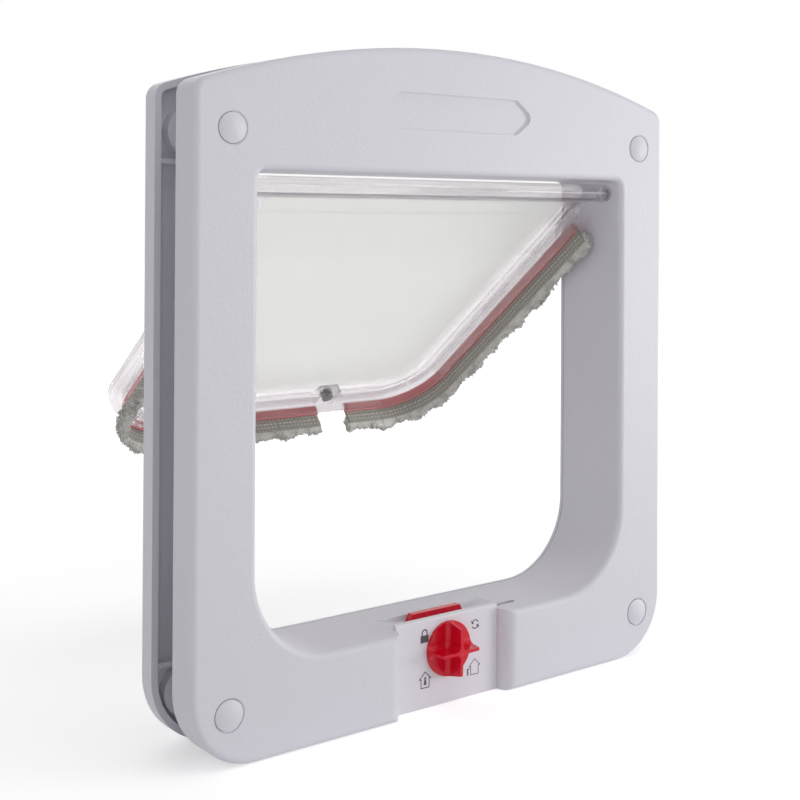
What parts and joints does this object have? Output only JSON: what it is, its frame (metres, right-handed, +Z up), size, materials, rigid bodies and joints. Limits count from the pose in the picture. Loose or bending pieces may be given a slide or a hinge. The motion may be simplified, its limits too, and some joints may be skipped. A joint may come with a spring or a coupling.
{
  "type": "cat flap",
  "caption": "White locking cat flap: two arched frames clamped through a door, clear swinging flap with red seal and grey pile, red dial lock.",
  "frame": {"origin": "on the plane where the indoor frame's rim meets the door, at the middle of the tunnel's opening", "axes": "+X to the right seen from indoors, +Y from indoors to outdoors, +Z up"},
  "size_m": [0.199, 0.1246, 0.2178],
  "materials": {
    "white_frame": "fine moulded grain",
    "white_panel": "smooth satin",
    "red_plastic": "smooth",
    "red_seal": "smooth",
    "clear_plastic": "clear, frosted in the middle",
    "steel": "zinc plated",
    "magnet": "plain",
    "tape": "woven",
    "pile": "dense pile"
  },
  "bodies": {
    "frame": {"front_frame": "white_frame", "rear_frame": "white_frame", "control_panel": "white_panel", "latch_cover": "white_panel", "cover_screw_1": "steel", "cover_screw_2": "steel", "frame_screw_tl": "steel", "frame_screw_tr": "steel", "frame_screw_bl": "steel", "frame_screw_br": "steel", "screw_cap_tl": "white_panel", "screw_cap_tr": "white_panel", "screw_cap_bl": "white_panel", "screw_cap_br": "white_panel", "threshold_magnet": "magnet"},
    "flap": {"flap_panel": "clear_plastic", "flap_magnet": "magnet", "seal_strip_left": "red_seal", "seal_strip_right": "red_seal", "brush_tape_left": "tape", "brush_tape_right": "tape", "brush_pile_left": "pile", "brush_pile_right": "pile"},
    "dial": {"dial": "red_plastic", "dial_clip": "steel"},
    "latch_out": {"latch_out": "red_plastic"},
    "latch_in": {"latch_in": "red_plastic"}
  },
  "joints": [
    {"name": "flap_swing", "type": "hinge", "parent": "frame", "child": "flap", "pos_m": [0, -0.0036, 0.06965], "axis": [1, 0, 0], "range_deg": [-126.5, 23.5]},
    {"name": "dial_turn", "type": "hinge", "parent": "frame", "child": "dial", "pos_m": [0, -0.00665, -0.08375], "axis": [0, 1, 0], "range_deg": [0, 90]},
    {"name": "latch_out_rise", "type": "slide", "parent": "frame", "child": "latch_out", "axis": [0, 0, 1], "range_m": [0, 0.00534]},
    {"name": "latch_in_rise", "type": "slide", "parent": "frame", "child": "latch_in", "axis": [0, 0, 1], "range_m": [0, 0.00535]}
  ],
  "couplings": [
    {"joint": "dial_turn", "follows": "latch_out_rise", "rad_per_m": 294.1},
    {"joint": "latch_in_rise", "follows": "latch_out_rise", "ratio": 1}
  ]
}
